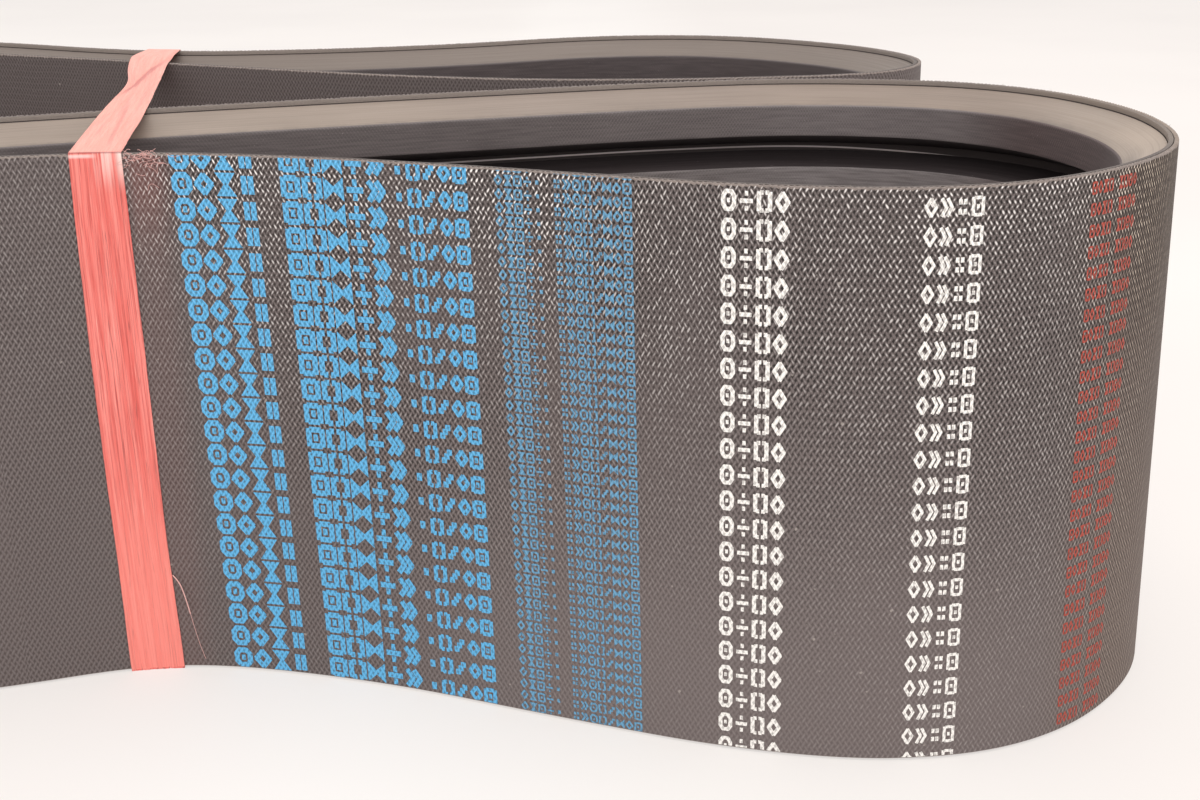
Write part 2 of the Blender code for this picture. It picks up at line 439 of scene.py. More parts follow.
def cover_color(place, height, chance):
    """Dark between threads with painted shade, the thread's own colour, and crowns with painted highlights;
    painted light and shade also at the near lobe's bend.
    """
    along, up = place.axis(0), place.axis(1)
    painted_glint = painted_crown_highlight(place)
    pits = place.stretched(1.0, 0.55).noise(13.0, 3.0).step(0.30, 0.58, 0.25, 1.0)
    pits = pits * up.step(0.005, 0.075, 0.30, 1.0)
    pits = pits * (along.step(0.05, 0.10, 0.45, 1.0) * along.step(0.60, 0.40))
    # painted shade: the gaps between threads darken where the crowns carry painted highlights, and in patches
    # of deep pits
    gap = painted_glint.larger(pits).mix((0.096, 0.075, 0.072), (0.016, 0.013, 0.012))
    thread = painted_glint.mix((0.156, 0.128, 0.124), (0.138, 0.115, 0.111))
    # painted highlight: near-white thread crowns, strongest in the printed run and towards the top edge
    crown = painted_glint.math("POWER", 1.25).mix((0.165, 0.138, 0.133), (1.0, 0.95, 0.92))
    color = height.step(0.10, 0.60).mix(gap, thread)
    color = (chance * 0.34 + height).step(0.88, 1.24).mix(color, crown)
    foot = up.step(0.11, 0.0) * along.between(*DUSTY_FOOT)
    color = (foot * 0.36).mix(color, (0.250, 0.208, 0.202))
    # At the near lobe's bend the cover is tinted warmer, with painted shade in its gaps, painted highlights
    # on its crowns and painted shade towards the top edge.
    turn = along.between(*PAINTED_LIGHT_BEND)
    color = turn.tint(color, (0.94, 0.86, 0.76))
    color = (turn * height.step(0.50, 0.12, 0.0, 0.60)).mix(color, (0.035, 0.029, 0.026))
    color = (turn * height.step(0.60, 0.92)).tint(color, (1.45, 1.42, 1.40))
    return (turn * up.step(0.07, TOP)).tint(color, (0.69, 0.67, 0.64))


def cover_look():
    look = Look("woven_cover", roughness=0.55, specular=0.25)
    place = look.flat()
    up = place.axis(1)
    height, chance = weave(place)
    color = cover_color(place, height, chance)
    color = place.noise(620.0, 0.0).step(0.83, 0.90, 0.0, 0.6).mix(color, (0.42, 0.37, 0.34))
    pink = place.axis(0).between(*RIBBON_RUB) * up.step(TOP - 30 * MM, TOP, 0.06, 0.22)
    color = pink.mix(color, (0.42, 0.13, 0.11))
    worn = (place.noise(700.0) * 0.0009 + up).step(TOP - 0.05 * MM, TOP + 0.4 * MM, 0.0, 0.85)
    color = worn.mix(color, (0.36, 0.30, 0.27))
    return look.done(color, height.bump(0.16 * MM, 0.7), height.step(0.3, 1.0, 0.75, 0.5))


def ink_look(name, ink, solid=0.0):
    """Ink over the threads, thin in the gaps between them, with painted shade in the gaps and painted
    highlights on the crowns.
    """
    look = Look(name, roughness=0.5, specular=0.35)
    place = look.flat()
    height, chance = weave(place)
    # painted shade: the ink darkens in the gaps between threads
    color = height.step(0.2, 0.55).mix(scaled(ink, 0.62), ink)
    # painted highlight: pale ink on the thread crowns, stronger towards the top
    lit = height.step(0.7, 0.98) * place.axis(1).step(0.02, TOP, 0.1, 0.8)
    color = lit.mix(color, tuple(min(1.0, channel * 1.15 + 0.10) for channel in ink))
    inked = (place.noise(900.0) * 0.5 + height).step(0.24 - solid, 0.42 - solid)
    color = inked.mix(cover_color(place, height, chance), color)
    return look.done(color, height.bump(0.15 * MM, 0.7))


def cut_look(name, base, pale, dust=0.75):
    """The fabric's cut edge: chopped thread ends in gum, with dust on it round the lobe."""
    look = Look(name, roughness=0.85, specular=0.3, sheen=0.1)
    place = look.flat()
    grain = place.stretched(1.0, 2.0).noise(1500.0, 3.0, 0.7)
    streak = place.stretched(0.15, 3.0).noise(900.0)
    color = grain.step(0.4, 0.75).mix(base, pale)
    color = streak.step(0.55, 0.8, 0.0, 0.4).mix(color, (0.05, 0.042, 0.04))
    dusty = place.axis(0).between(*DUSTY_EDGE) * dust
    return look.done(dusty.mix(color, (0.270, 0.216, 0.178)), grain.bump(0.2 * MM, 0.7))


def dusty_look(name, face_height, side):
    """An end rib's bare side: dusty and pale, worn darker towards the rib's face and along the last run, and
    brightened with painted light round the near lobe's end.
    """
    look = Look(name, roughness=0.6, specular=0.4, sheen=0.15)
    place = look.flat()
    along = place.axis(0)
    streak = place.stretched(0.04, 4.0).noise(500.0, 3.0)
    grain = place.noise(2600.0)
    color = place.stretched(0.35, 2.0).noise(60.0, 4.0).step(0.3, 0.7).mix(DUST, PALE_DUST)
    color = streak.step(0.45, 0.8, 0.0, 0.3).mix(color, (0.16, 0.13, 0.112))
    color = grain.step(0.66, 0.8, 0.0, 0.5).mix(color, (0.42, 0.36, 0.32))
    color = (along.between(*FAR_RUN) * 0.64).mix(color, (0.088, 0.068, 0.060))
    # tints, two of them painted light round the near lobe's end
    for stretch, by in SIDE_TINTS_AND_PAINTED_LIGHT:
        color = along.between(*stretch).tint(color, by)
    bend = along.between(*CLEAN_BEND)
    ragged = place.stretched(0.6, 1.0).noise(420.0, 4.0, 0.65) * (1.6 * MM) + look.solid().axis(2) * side
    edge_at = face_height * side
    dark = (bend * (-2.4 * MM) + ragged).step(edge_at + 1.9 * MM, edge_at - 0.2 * MM)
    dark = dark - dark * (along.between(*LOBE_END_TURN) * 0.40 + bend * 0.30)
    color = dark.mix(color, (0.102, 0.079, 0.068))
    return look.done(color, grain.bump(0.05 * MM, 0.5), streak.step(0.3, 0.7, 0.52, 0.72))


def groove_look(name, base, lit):
    """A rib's side inside a groove, dark with fine lengthwise rubbing."""
    look = Look(name, roughness=0.6, specular=0.3)
    place = look.flat()
    grain = place.stretched(0.5, 1.0).noise(900.0)
    color = place.stretched(0.04, 4.0).noise(500.0, 3.0).step(0.35, 0.75).mix(base, lit)
    color = grain.step(0.68, 0.8, 0.0, 0.4).mix(color, scaled(lit, 4))
    return look.done(color, grain.bump(0.06 * MM, 0.5))


def facing_look(name, gap, thread, crown, contrast):
    """The rib's woven face, filled with gum so that its threads show faintly."""
    look = Look(name, roughness=0.62, specular=0.4, sheen=0.1)
    place = look.flat()
    height = weave(place.stretched(1.25, 1.5))[0]
    patch = place.stretched(0.4, 1.0).noise(16.0, 3.0).step(0.35, 0.7, 0.15, 1.0)
    color = place.stretched(0.12, 2.2).noise(620.0, 3.0).step(0.3, 0.7).mix(gap, thread)
    color = (height.step(0.15, 0.95) * (patch * contrast)).mix(color, crown)
    along = place.axis(0)
    for stretch, by in FACE_TINTS:
        color = along.between(*stretch).tint(color, by)
    color = place.noise(1900.0, 1.0).step(0.70, 0.78, 0.0, 0.5).mix(color, scaled(crown, 1.9))
    return look.done(color, height.bump(0.07 * MM, 0.6))


def plain_rubber_look(name, base):
    look = Look(name, roughness=0.75, specular=0.3)
    grain = look.flat().stretched(0.3, 1.0).noise(700.0, 3.0)
    return look.done(grain.step(0.35, 0.7).mix(scaled(base, 0.75), base), grain.bump(0.1 * MM, 0.6))


def root_look():
    """The band between two ribs: dark, with one pale line half way across that is a painted highlight along
    the groove.
    """
    look = Look("groove_root", roughness=0.75, specular=0.3)
    place = look.flat()
    wander = place.stretched(0.2, 0.0).noise(60.0) * 0.0005 + look.solid().axis(2)
    steps = (wander - (rib_centre(0) + PITCH / 2 + 0.15 * MM)).math("DIVIDE", PITCH)
    # painted highlight: a thin pale line standing for an edge that catches light in the groove
    line = abs((steps + 0.5).math("FRACT") - 0.5).step(0.008, 0.017, 1.0, 0.0)
    fade = place.stretched(0.5, 0.0).noise(20.0).step(0.3, 0.6, 0.4, 1.0)
    color = (line * fade).mix((0.060, 0.047, 0.046), (0.80, 0.70, 0.68))
    grain = place.stretched(0.3, 1.0).noise(700.0, 3.0)
    return look.done(color, grain.bump(0.1 * MM, 0.6))


RIBBON_HALF = 6.5 * MM
CREASE_LEFT, CREASE_RIGHT = 0.412, 0.873  # where the top run's slanting crease meets its two sides, as shares
TOP_RUN = 234 * MM
CREASE_RISE = (CREASE_RIGHT - CREASE_LEFT) * TOP_RUN / (2 * RIBBON_HALF)
CREASE_AT = TOP + (CREASE_LEFT + CREASE_RIGHT) / 2 * TOP_RUN
# Faint pleats in the top run, drawn as lines of painted shade: place across and its drift, first and last
# place along, and depth of the painted shade
PLEATS = (
    (2.4 * MM, -0.028, 0.002, 0.095, 0.62), (-2.7 * MM, -0.004, 0.016, 0.062, 0.50),
    (0.2 * MM, -0.012, 0.050, 0.120, 0.40), (4.6 * MM, -0.010, 0.060, 0.150, 0.35),
)


def film_look(name, deep, base, pale, folded=False):
    """Split film: satin, with lengthwise fibres and slits. Its u runs along and v across."""
    look = Look(name, roughness=0.4, specular=0.5, sheen=0.2)
    place = look.flat()
    fibres = place.stretched(0.022, 1.0).noise(2300.0, 4.0, 0.65)
    bands = place.stretched(0.03, 1.0).noise(520.0, 3.0, 0.6)
    color = bands.step(0.36, 0.66).mix(base, pale)
    color = fibres.step(0.46, 0.72, 0.0, 0.85).mix(color, deep)
    color = fibres.step(0.24, 0.42, 0.65, 0.0).mix(color, (1.0, 0.56, 0.49))
    slit = abs(place.stretched(0.014, 1.0).noise(760.0) - 0.5).step(0.0, 0.014, 0.6, 0.0)
    color = slit.mix(color, scaled(deep, 0.4))
    if folded:
        color = folded_color(place, bands, color, deep)
    look.inputs["Subsurface Weight"].default_value = 0.10
    look.inputs["Subsurface Radius"].default_value = (0.003, 0.001, 0.0008)
    return look.done(color, (bands * 1.6 + fibres).bump(0.3 * MM, 0.9))


def folded_color(place, bands, color, deep):
    """The tied ribbon's colour: paler across the top as painted light, painted white highlights just below
    the front fold, and painted shade in its crease, along its pleats and on the fold.
    """
    along, across = place.axis(0), place.axis(1)
    past = along - TOP
    painted_top_light = past.between(0.0, 1 * MM, 235 * MM, 240 * MM)
    # painted light: the top run is paler where it faces the light from above
    color = (painted_top_light * 0.42).mix(color, (1.0, 0.50, 0.37))
    # painted highlights just below the front fold: white glints and a thin bright line
    below = past.between(-11 * MM, -1 * MM, 0.0, 0.4 * MM)
    glint = bands.step(0.42, 0.56, 0.0, 0.6) * across.step(-2.5 * MM, 1.5 * MM)
    glint = glint.larger(across.step(4.0 * MM, 6.2 * MM, 0.0, 0.85))
    color = (below * glint).mix(color, (1.0, 0.78, 0.72))
    bright = past.between(-1.7 * MM, -1.0 * MM, -0.8 * MM, -0.3 * MM) * across.step(1 * MM, -2 * MM, 0.0, 0.6)
    color = bright.mix(color, (1.0, 0.80, 0.76))
    color = along.step(0.075, 0.020, 0.0, 0.6).mix(color, (0.97, 0.275, 0.225))
    wander = place.stretched(1.0, 0.3).noise(70.0) * 0.010 - 0.005
    slope = across * -CREASE_RISE + (along - CREASE_AT) + wander
    seen = past.between(0.100, 0.118, 0.170, 0.212)
    # painted shade: a dark line along the top run's slanting crease
    crease = abs(slope).step(3.0 * MM, 9.5 * MM, 0.9, 0.0) * seen
    color = crease.mix(color, (0.54, 0.080, 0.062))
    # painted shade on the film just beside the crease
    shade = slope.between(-30 * MM, -3 * MM, 0.0, 2 * MM) * seen
    color = (shade * 0.30).mix(color, (0.75, 0.22, 0.18))
    for start, turn, first, last, depth in PLEATS:
        beside = wander * 0.04 + across - (past * turn + start)
        shown = past.between(first, first + 0.02, last - 0.03, last)
        color = (abs(beside).step(0.2 * MM, 0.9 * MM, depth, 0.0) * shown).mix(color, (0.64, 0.155, 0.125))
    # painted shade: a dark line along the top fold
    return abs(past).step(0.0, 0.6 * MM, 0.8, 0.0).mix(color, scaled(deep, 0.45))


# ---- the belt's layers

def rib_centre(index):
    return MIDDLE_RIB + (index - RIBS // 2) * PITCH


def edge(index, depth, side):
    """The height of a rib's lower (-1) or upper (1) flank at a depth."""
    slope = END_FLANK if (index, side) in ((0, -1), (RIBS - 1, 1)) else FLANK
    return rib_centre(index) + side * (FACE_WIDTH / 2 + slope * (THICKNESS - depth))


def flanks(index, *depths):
    """A rib's lower and upper flank, as (depth, height) corners at these depths."""
    return [[(depth, edge(index, depth, side)) for depth in depths] for side in (-1, 1)]


def add_band(belt, looks):
    """The two woven plies, each with a ragged upper cut edge."""
    lip, worn, cut = 0.2 * MM, 0.12 * MM, 0.1 * MM
    outer = [
        (0.0, LOW + lip), (0.0, TOP - lip), (worn, TOP), (PLY_SPLIT - cut, TOP),
        (PLY_SPLIT, TOP - lip), (PLY_SPLIT, LOW + lip), (PLY_SPLIT - cut, LOW), (worn, LOW),
    ]
    notch = RNG.uniform(0.12 * MM, 0.40 * MM, belt.count)
    notch[::2] *= 0.15

    def ragged(depth, height):
        height[:, 1:4] -= notch[:, None]
        depth[:, 2] += notch * 0.5

    look_of = (0, *[1] * (len(outer) - 1))
    made = swept("belt_cover", belt, outer, [looks["cover"], looks["cut"]], 1, look_of, ragged)
    piece(made, "woven_cover", "band_outer_ply")

    near = PLY_SPLIT + PLY_SEAM
    rib_top = edge(RIBS - 1, BAND, 1) + cut
    rib_foot = edge(0, BAND, -1) - cut
    top = TOP - 0.05 * MM
    inner = [
        (near, LOW + lip), (near, TOP - lip), (near + cut, top), (BAND - 0.15 * MM, top),
        (BAND, TOP - 0.30 * MM), (BAND, rib_top), (BAND, rib_foot), (BAND, LOW + lip), (BAND - cut, LOW),
        (near + cut, LOW),
    ]
    slow = np.cumsum(RNG.normal(0, 1, belt.count // 2))
    slow -= np.linspace(0, slow[-1], len(slow))

    def uneven(depth, height):
        height[:, 1:5] -= (0.06 * MM * np.abs(np.sin(slow * 0.35)))[:, None]

    used = [looks["root"], looks["inner_cut"], looks["ply_side"]]
    made = swept("belt_inner_ply", belt, inner, used, 2, (0, 1, 1, 2, 2, 0, 2, 1, 1, 1), uneven)
    piece(made, "inner_ply", "band_inner_ply")


def add_rib(belt, index, looks):
    """One rib: a jacketed trapezoid with a channel on its band side that holds the cords."""
    base = BAND + 0.05 * MM
    low, high = flanks(index, base, THICKNESS - FACING - 0.03 * MM)
    channel = CORD_OUT + 0.1 * MM
    rim_round = 0.45 * MM
    inner_low = edge(index, channel, -1) + JACKET
    inner_high = edge(index, channel, 1) - JACKET
    section = [
        (base, inner_high), *rounded(high[0], (base, inner_high), high[1], rim_round, 2), high[1],
        low[1], *rounded(low[0], low[1], (base, inner_low), rim_round, 2), (base, inner_low),
        (channel, inner_low), (channel, inner_high),
    ][::-1]
    first, last = index == 0, index == RIBS - 1
    look_of = []
    for here, after in zip(section, section[1:] + section[:1]):
        upper = (here[1] + after[1]) / 2 > rib_centre(index)
        outside = last if upper else first
        # The rounded feet of the inner ribs get lighter rubber: a painted highlight where their edge meets
        # the groove.
        rim = max(here[0], after[0]) < base + rim_round + 0.05 * MM and not outside
        look_of.append(2 if rim else 0 if upper else 1)
    names = ("top_flank" if last else "groove", "bottom_flank" if first else "groove", "rim")
    used = [looks[name] for name in names]
    made = swept(f"rib_jacket_{index + 1}", belt, section, used, COARSE_SHARE, look_of)
    piece(made, "rib_rubber", f"rib_{index + 1}")


def add_facing(belt, index, looks):
    low, high = flanks(index, THICKNESS - FACING, THICKNESS)
    section = [
        low[0], high[0],
        *rounded(high[1], high[0], low[1], CORNER, 4), *rounded(low[1], high[1], low[0], CORNER, 4),
    ]
    used = [looks["end_face" if index in (0, RIBS - 1) else "face"]]
    made = swept(f"rib_face_{index + 1}", belt, section, used, COARSE_SHARE)
    piece(made, "rib_fabric", f"rib_facing_{index + 1}")


def add_cords(belt, index, looks):
    """A ribbed strip: the row of cords in their gum."""
    low = edge(index, CORD_OUT, -1) + JACKET + 0.1 * MM
    high = edge(index, CORD_OUT, 1) - JACKET - 0.1 * MM
    heights = np.linspace(low, high, 2 * CORDS + 1)
    swell = np.where(np.arange(2 * CORDS + 1) % 2, 0.0, 0.22 * MM)
    section = [(CORD_IN + s, h) for h, s in zip(heights, swell)]
    section += [(CORD_OUT - s, h) for h, s in zip(heights[::-1], swell[::-1])]
    made = swept(f"cord_row_{index + 1}", belt, section, [looks["cord"]], CORD_SHARE)
    piece(made, "cord_gum", f"cord_layer_{index + 1}")


# ---- the print

# A straight stroke between two points of a mark's unit box
stroke = collections.namedtuple("stroke", "x0 y0 x1 y1 weight", defaults=(1.0,))
# Each mark is a list of strokes and filled four-sided patches
FRAME = [stroke(-1, -1, -1, 1), stroke(1, -1, 1, 1), stroke(-0.7, 1, 0.7, 1), stroke(-0.7, -1, 0.7, -1)]
MARKS = {
    "d": [stroke(-1, 0, 0, 1), stroke(0, 1, 1, 0), stroke(1, 0, 0, -1), stroke(0, -1, -1, 0)],
    "t": [*FRAME, stroke(-0.15, 0, 0.15, 0, 1.2)],
    "h": [[(-1, 1), (1, 1), (0.22, 0), (-0.22, 0)], [(-0.22, 0), (0.22, 0), (1, -1), (-1, -1)]],
    "m": [[(-1, 1), (0, 0.22), (0, -0.22), (-1, -1)], [(0, 0.22), (1, 1), (1, -1), (0, -0.22)]],
    "p": [stroke(side, -1, side, 1) for side in (-1, 1)]
         + [stroke(side * 0.7, up, side * 0.35, up) for side in (-1, 1) for up in (-1, 1)],
    "b": [stroke(x - 0.2, y, x + 0.2, y, 1.5) for x in (-0.6, 0.6) for y in (-0.65, 0.65)],
    "s": [stroke(step - 0.35, step, step + 0.35, step, 1.4) for step in (-0.7, 0.0, 0.7)],
    "v": [stroke(x, y, x + 0.85, 0) for x in (-1, 0.1) for y in (-1, 1)],
    "n": [stroke(-1, 0, 1, 0)] + [stroke(-0.15, y, 0.15, y, 1.1) for y in (0.85, -0.85)],
    "q": [*[stroke(x, -0.5, x, 0.5) for x in (-1, 1)], *[stroke(-0.5, y, 0.5, y) for y in (1, -1)],
          stroke(-1, 0.5, -0.5, 1), stroke(0.5, 1, 1, 0.5), stroke(1, -0.5, 0.5, -1),
          stroke(-0.5, -1, -1, -0.5), stroke(-0.12, 0, 0.12, 0)],
    "o": [stroke(-0.35, 0, 0.35, 0, 1.8)],
    " ": [],
}
PATCH = 1.3  # the longest side of a printed patch, in millimetres, so that it follows the bends

# One printed column: marks side by side, repeated down the belt. All its lengths are in millimetres.
# top and bottom give the column's two sides along the belt at its upper and lower edge.
printed = collections.namedtuple("printed", "signs top bottom first pitch size weight gap", defaults=(0.14,))
BLUE_PRINT = (
    printed("qdhb tpmnv", (48.2, 104.7), (54.4, 108.5), 0.9, 6.352, 5.75, 1.50, 0.07),
    printed("opsdt", (105.8, 126.0), (109.5, 129.6), 1.9, 6.352, 4.6, 1.10, 0.08),
)
THIN_PRINT = (printed("dhtno bvqpsmdt", (132.7, 167.0), (136.1, 168.9), -0.6, 3.176, 2.6, 0.52, 0.10),)
WHITE_PRINT = (
    printed("qnpd", (187.3, 203.0), (187.9, 203.6), 3.6, 6.352, 4.9, 0.98),
    printed("dvbt", (230.8, 244.6), (232.0, 245.5), 4.4, 6.352, 4.5, 0.78),
)
RED_PRINT = (printed("tdhp hpqd", (273.6, 292.0), (274.9, 292.5), 3.4, 4.85, 3.0, 0.50, 0.12),)
PRINT_LIFT = 0.04 * MM


def patches(part, half, weight):
    """The part's four-sided patches in millimetres about the mark's middle, small enough to bend."""
    if isinstance(part, list):
        corners = np.array(part, float) * half
    else:
        wide = weight * part.weight
        start, end = np.reshape(part[:4], (2, 2)) * (half - wide / 2)
        ahead = unit(end - start)
        side = np.array((-ahead[1], ahead[0])) * wide / 2
        start, end = start - ahead * wide * 0.2, end + ahead * wide * 0.2
        corners = np.array([start - side, end - side, end + side, start + side])
    rows = max(1, math.ceil(np.linalg.norm(corners[1] - corners[0]) / PATCH))
    columns = max(1, math.ceil(np.linalg.norm(corners[3] - corners[0]) / PATCH))
    u = np.linspace(0, 1, rows + 1)[:, None, None]
    v = np.linspace(0, 1, columns + 1)[None, :, None]
    points = (corners[0] * (1 - u) + corners[1] * u) * (1 - v) + (corners[3] * (1 - u) + corners[2] * u) * v
    return cells(points, 2).reshape(-1, 4, 2)


def print_quads(spec):
    """Corners (along, height) and the layer of every patch in one printed column."""
    cell = (spec.top[1] - spec.top[0]) / len(spec.signs)
    half = np.array((cell * (1 - spec.gap) / 2, spec.size / 2))
    low, high = LOW / MM + 0.25, TOP / MM - 0.3
    rows = np.arange(TOP / MM - spec.first, low - spec.size / 2, -spec.pitch)
    corners, layers = [], []
    for place, sign in enumerate(spec.signs):
        for layer, part in enumerate(MARKS[sign]):
            shape = patches(part, half, spec.weight)
            corners += [shape + ((place + 0.5) * cell, row) for row in rows]
            layers += [layer] * len(shape) * len(rows)
    corners, layers = np.concatenate(corners), np.array(layers)
    corners[..., 1] = np.clip(corners[..., 1], low, high)
    kept = np.ptp(corners[..., 1], axis=1) > 0.08
    corners, layers = corners[kept], layers[kept]
    share = corners[..., 0] / (cell * len(spec.signs))
    fall = (TOP / MM - corners[..., 1]) / ((TOP - LOW) / MM)
    left, right = (above + (below - above) * fall for above, below in zip(spec.top, spec.bottom))
    return np.stack([left + (right - left) * share, corners[..., 1]], axis=-1) * MM, layers


def add_print(belt, name, specs, look):
    """Flat marks just proud of the cover, as one mesh."""
    found = [print_quads(spec) for spec in specs]
    flat = np.concatenate([corners for corners, layers in found])
    lift = PRINT_LIFT * (1 + 0.06 * np.concatenate([layers for corners, layers in found]))
    points = belt.surface(flat[..., 0], flat[..., 1], -lift[:, None])
    piece(quad_object(name, points, np.arange(4 * len(flat)), flat, [look]), "woven_cover")


# ---- the ribbon

RIBBON_COLUMNS = 61
RIBBON_LIFT = 0.30 * MM
RIBBON_SEAT = 0.10 * MM
BACK_SHIFT = 4.2 * MM
FILM = 0.12 * MM
FLUFF, FUZZ = 40, 420
# By the share of the way up, or across the top: how far the ribbon's middle and sides stray, in millimetres
FRONT_MIDDLE = ((0, -0.1), (0.30, -1.45), (0.54, -2.2), (0.80, -2.75), (1, -3.15))
FRONT_HALF = ((0, 7.0), (0.30, 6.75), (0.54, 6.65), (0.80, 6.55), (1, 6.4))
TOP_LEFT = (
    (0, 0), (0.15, 0.2), (0.30, 0.4), (0.45, 1.3), (0.54, 2.3), (0.57, 1.9), (0.66, -0.6), (0.80, -3.0),
    (0.87, -3.6), (0.93, -2.6), (1, 0),
)
TOP_RIGHT = ((0, 0), (0.12, -0.1), (0.3, -0.4), (0.57, 0.6), (0.8, 1.6), (0.88, 1.0), (1, 0))


def table(places, values):
    """A smooth curve through (share, millimetres) pairs."""
    at, mm = np.array(values, float).T
    rough = np.interp(places, at, mm)
    fine = np.interp(np.clip(places[:, None] + np.linspace(-0.05, 0.05, 11), 0, 1), at, mm)
    return np.where(places * (1 - places) > 0, fine.mean(1), rough) * MM


def pleats(along, across):
    """Small lengthwise ridges of the gathered film, 0 to 1."""
    ridge = 0.40 * np.abs(np.sin(across * 5.2 + 0.5 * np.sin(along * 31.0) + 0.7))
    ridge = ridge + 0.35 * (0.5 + 0.5 * np.sin(across * 19.0 + 2.0 + 0.8 * np.sin(along * 47.0 + 1.0)))
    return ridge + 0.25 * (0.5 + 0.5 * np.sin(across * 43.0 + 4.0 + 0.6 * np.sin(along * 83.0)))


def ragged_side(count, reach):
    """A slow random wander for one side of the ribbon, in metres."""
    steps = np.cumsum(RNG.normal(0, 1, count))
    steps -= np.linspace(steps[0], steps[-1], count)
    return steps / max(1e-9, np.abs(steps).max()) * reach


def ribbon_rows(belt):
    """The ribbon's surface as a grid, one row for each step round the bundle."""
    across = np.linspace(-1, 1, RIBBON_COLUMNS)
    front = belt.nearest(TIE_FRONT)
    back = belt.nearest(TIE_BACK) + BACK_SHIFT

    def on_strand(middle, half, share, turn):
        height = foot + (TOP - foot) * share
        ridge = pleats(height, across * turn)
        flatten = min(1.0, (TOP - height) / (6 * MM) + 0.35)
        gap = RIBBON_SEAT + RIBBON_LIFT * ridge * flatten
        return belt.surface(middle + across * turn * half, height, -gap)

    def fold_rows(seat, toward, turns):
        inward = unit(toward - seat)
        made = []
        for turn in turns:
            row = seat + inward * (1 - math.cos(turn)) * 0.5 * MM
            row[:, 2] = TOP + math.sin(turn) * lift
            made.append(row)
        return made

    foot, lift = 0.5 * MM, 0.35 * MM
    rows = []
    steps = np.linspace(0, 1, 70)
    half = table(steps, FRONT_HALF) + ragged_side(len(steps), 0.22 * MM)
    for share, shift, wide in zip(steps, table(steps, FRONT_MIDDLE), half):
        rows.append(on_strand(front + shift, wide, share, 1))
    front_seat = rows[-1]
    back_seat = on_strand(back, RIBBON_HALF, 1.0, -1)
    quarter = np.linspace(0, math.pi / 2, 5)[1:]
    rows += fold_rows(front_seat, back_seat, quarter)
    back_fold = fold_rows(back_seat, front_seat, quarter[::-1])
    start, end = rows[-1], back_fold[0]
    steps = np.linspace(0, 1, 110)[1:-1]
    left_in = table(steps, TOP_LEFT) + ragged_side(len(steps), 0.25 * MM)
    right_in = table(steps, TOP_RIGHT) + ragged_side(len(steps), 0.25 * MM)
    for share, left, right in zip(steps, left_in, right_in):
        row = start * (1 - share) + end * share
        row[:, 0] += (1 - across) / 2 * left - (1 + across) / 2 * right
        crease = (share - CREASE_LEFT) / (CREASE_RIGHT - CREASE_LEFT) * 2 - (across + 1)
        step = 1 / (1 + np.exp(-crease * 9))
        window = np.clip((share - 0.45) / 0.15, 0, 1) * np.clip((0.98 - share) / 0.12, 0, 1)
        groove = np.exp(-((crease * 5) ** 2))
        ridge = pleats(share * 0.25, across + 0.15 * share)
        ends = min(1.0, share * 8, (1 - share) * 8)
        row[:, 2] = TOP + lift + RIBBON_LIFT * ridge * (0.3 + 0.9 * ends)
        row[:, 2] += window * (0.7 * MM * step - 0.30 * MM * groove)
        rows.append(row)
    rows += back_fold
    steps = np.linspace(1, 0, 50)
    for share, wander in zip(steps, ragged_side(len(steps), 0.3 * MM)):
        rows.append(on_strand(back, RIBBON_HALF + wander, share, -1))
    start, end = rows[-1], rows[0]
    for share in np.linspace(0, 1, 30):
        row = start * (1 - share) + end * share
        row[:, 2] = RIBBON_SEAT
        rows.append(row)
    return np.array(rows)


def thicken(sheet):
    solid = sheet.modifiers.new("film", "SOLIDIFY")
    solid.thickness = FILM
    solid.offset = 0.0


def add_ribbon(belt, look):
    points = ribbon_rows(belt)
    along = walked(points[:, RIBBON_COLUMNS // 2])
    closing = along[-1] + np.linalg.norm(points[0, 0] - points[-1, 0])
    across = np.linspace(-1, 1, RIBBON_COLUMNS) * RIBBON_HALF
    made = grid_object("tie_band", points, (np.r_[along, closing], across), [look], True, angle=60)
    thicken(made)
    piece(made, "split_film", "tie_ribbon")


def knot_place(belt):
    """Where the knot sits behind the bundle: X along the belt, Y away from it, Z up."""
    low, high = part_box("tie_knot")
    back = belt.nearest(TIE_BACK)
    away = belt.surface(back, TOP, -1.0) - belt.surface(back, TOP)
    turn = math.atan2(-away[0], away[1])
    return Matrix.Translation((low + high) / 2) @ Matrix.Rotation(turn, 4, "Z")


def add_knot(place, look):
    """An overhand knot of pleated film: a fat flattened tube along a three-lobed knot."""
    turns, sides = 140, 20
    half = np.array((8.3, 5.3, 6.8)) * MM
    tube = 2.5 * MM
    t = np.linspace(0, 2 * math.pi, turns, endpoint=False)
    line = np.stack([np.sin(t) + 2 * np.sin(2 * t), -np.sin(3 * t), np.cos(t) - 2 * np.cos(2 * t)], axis=1)
    line *= (half - tube) / np.abs(line).max(0)
    ahead = unit(np.roll(line, -1, 0) - np.roll(line, 1, 0))
    side = unit(np.cross(ahead, (0.0, 1.0, 0.0)))
    up = np.cross(side, ahead)
    ring = np.linspace(0, 2 * math.pi, sides, endpoint=False)
    wide = tube * (1 + 0.1 * np.sin(5 * ring) + 0.06 * np.sin(9 * ring + 3 * t[:, None]))
    points = line[:, None] + side[:, None] * (wide * np.cos(ring))[..., None]
    points += up[:, None] * (0.62 * wide * np.sin(ring))[..., None]
    flat = (np.arange(turns + 1) * 0.45 * MM, np.arange(sides + 1) * 0.7 * MM)
    made = grid_object("tie_knot_wraps", points, flat, [look], True, True, angle=60)
    made.matrix_world = place
    piece(made, "split_film", "tie_knot")


